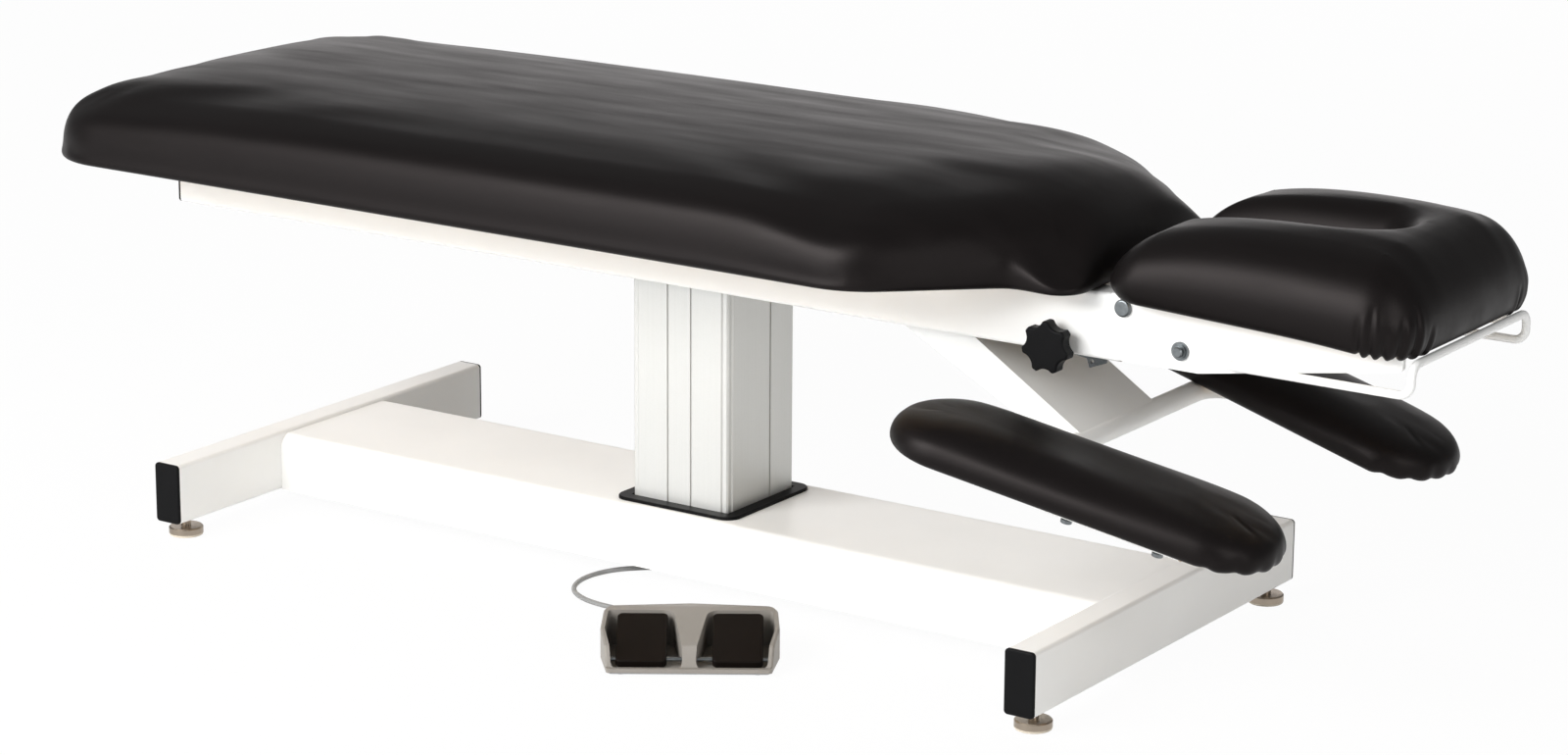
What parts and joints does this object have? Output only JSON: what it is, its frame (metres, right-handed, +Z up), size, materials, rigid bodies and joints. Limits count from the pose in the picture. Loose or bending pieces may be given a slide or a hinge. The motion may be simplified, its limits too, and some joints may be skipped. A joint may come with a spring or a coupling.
{
  "type": "chiropractic table",
  "caption": "Height-adjustable treatment table with a tapered padded top, a tilting headpiece with a face slot, dropped arm rests and a corded foot switch.",
  "frame": {"origin": "floor point under the centre of the table's own bounding box, in its lowest position; the foot switch on its cord is left out", "axes": "+X towards the headpiece, +Y to the side away from the foot switch, +Z up"},
  "size_m": [1.8396, 0.7453, 0.5503],
  "materials": {
    "cushion_vinyl": "semi-matte, fine grain",
    "frame_white": "satin powder coat",
    "column_alloy": "satin anodised",
    "bright_steel": "zinc plated",
    "foot_nickel": "brownish nickel",
    "black_plastic": "moulded",
    "glide_plastic": "moulded",
    "actuator_grey": "satin",
    "rod_chrome": "polished",
    "spring_black": "gloss",
    "board_ply": "sanded",
    "plug_beige": "moulded",
    "switch_grey": "fine texture",
    "pedal_dark": "satin",
    "switch_rubber": "matt",
    "switch_plate": "matt",
    "cord_grey": "matt"
  },
  "bodies": {
    "base": {"base_beam_foot": "frame_white", "base_beam_head": "frame_white", "base_spine": "frame_white", "base_cover": "frame_white", "base_pan": "frame_white", "beam_end_caps": "black_plastic", "foot_inserts": "bright_steel", "column_ring": "black_plastic", "column_outer": "column_alloy", "outer_glides": "glide_plastic", "lift_actuator": "actuator_grey", "control_box": "actuator_grey", "power_inlet": "black_plastic", "cord_boot": "black_plastic", "pedal_housing": "switch_grey", "pedal_base": "switch_plate", "pedal_rubber_feet": "switch_rubber", "pedal_axle": "bright_steel", "pedal_switches": "pedal_dark", "cord_gland": "black_plastic", "pedal_cord": "cord_grey"},
    "foot_1": {"levelling_foot_1": "foot_nickel"},
    "foot_2": {"levelling_foot_2": "foot_nickel"},
    "foot_3": {"levelling_foot_3": "foot_nickel"},
    "foot_4": {"levelling_foot_4": "foot_nickel"},
    "column_mid": {"column_middle": "column_alloy", "middle_glides": "glide_plastic"},
    "top": {"column_inner": "column_alloy", "actuator_rod": "rod_chrome", "column_head_plate": "frame_white", "rail_near": "frame_white", "rail_far": "frame_white", "cross_members": "frame_white", "rail_end_caps": "black_plastic", "deck_board": "board_ply", "main_cushion": "cushion_vinyl", "hinge_blocks": "frame_white", "spring_anchor": "frame_white", "arm_pivot_pin": "bright_steel", "lock_stud": "bright_steel"},
    "headpiece": {"head_side_plate_near": "frame_white", "head_side_plate_far": "frame_white", "headpiece_board": "board_ply", "headpiece_cushion": "cushion_vinyl", "hinge_bolts": "bright_steel", "cross_pin": "bright_steel"},
    "spring_cylinder": {"gas_spring_cylinder": "spring_black"},
    "spring_rod": {"gas_spring_rod": "rod_chrome"},
    "bail": {"release_bail": "frame_white"},
    "arms": {"arm_bracket": "frame_white", "arm_tube": "frame_white", "arm_tube_plugs": "plug_beige", "arm_boards": "board_ply", "arm_pad_near": "cushion_vinyl", "arm_pad_far": "cushion_vinyl", "arm_bolts": "bright_steel", "lock_quadrant": "bright_steel"},
    "arm_knob": {"star_knob": "black_plastic"},
    "pedal_left": {"pedal_left": "pedal_dark"},
    "pedal_right": {"pedal_right": "pedal_dark"}
  },
  "joints": [
    {"name": "lift", "type": "slide", "parent": "base", "child": "top", "axis": [0, 0, 1], "range_m": [0, 0.3]},
    {"name": "middle_slide", "type": "slide", "parent": "base", "child": "column_mid", "axis": [0, 0, 1], "range_m": [0, 0.151]},
    {"name": "head_tilt", "type": "hinge", "parent": "top", "child": "headpiece", "pos_m": [0.56272, 0, 0.4497], "axis": [0, 1, 0], "range_deg": [-15, 25]},
    {"name": "spring_swing", "type": "hinge", "parent": "top", "child": "spring_cylinder", "pos_m": [0.37272, 0, 0.426], "axis": [0, 1, 0], "range_deg": [-4.3, 7.1]},
    {"name": "spring_stroke", "type": "slide", "parent": "spring_cylinder", "child": "spring_rod", "axis": [0.9986, 0, -0.0534], "range_m": [-0.0172, 0.0104]},
    {"name": "bail_pull", "type": "hinge", "parent": "headpiece", "child": "bail", "pos_m": [0.69572, 0, 0.407], "axis": [0, 1, 0], "range_deg": [0, 8], "stiffness_Nm_per_rad": 10, "springref_deg": -8.59},
    {"name": "arm_tilt", "type": "hinge", "parent": "top", "child": "arms", "pos_m": [0.27572, 0, 0.398], "axis": [0, 1, 0], "range_deg": [-3, 7]},
    {"name": "knob_turn", "type": "hinge", "parent": "top", "child": "arm_knob", "pos_m": [0.47622, -0.15, 0.396], "axis": [0, 1, 0], "continuous": true},
    {"name": "pedal_left_press", "type": "hinge", "parent": "base", "child": "pedal_left", "pos_m": [0.07895, -0.36749, 0.0147], "axis": [-0.8278, -0.5611, 0], "range_deg": [0, 5], "stiffness_Nm_per_rad": 2, "springref_deg": -5.73},
    {"name": "pedal_right_press", "type": "hinge", "parent": "base", "child": "pedal_right", "pos_m": [0.17001, -0.30577, 0.0147], "axis": [-0.8278, -0.5611, 0], "range_deg": [0, 5], "stiffness_Nm_per_rad": 2, "springref_deg": -5.73},
    {"name": "foot_1_screw", "type": "hinge", "parent": "base", "child": "foot_1", "pos_m": [-0.70003, -0.2715, 0.005], "axis": [0, 0, 1], "continuous": true},
    {"name": "foot_2_screw", "type": "hinge", "parent": "base", "child": "foot_2", "pos_m": [-0.70003, 0.2715, 0.005], "axis": [0, 0, 1], "continuous": true},
    {"name": "foot_3_screw", "type": "hinge", "parent": "base", "child": "foot_3", "pos_m": [0.54147, -0.2715, 0.005], "axis": [0, 0, 1], "continuous": true},
    {"name": "foot_4_screw", "type": "hinge", "parent": "base", "child": "foot_4", "pos_m": [0.54147, 0.2715, 0.005], "axis": [0, 0, 1], "continuous": true}
  ],
  "couplings": [
    {"joint": "middle_slide", "follows": "lift", "ratio": 0.5},
    {"joint": "spring_swing", "follows": "head_tilt", "ratio": 0.275},
    {"joint": "spring_stroke", "follows": "head_tilt", "m_per_rad": -0.038113}
  ]
}
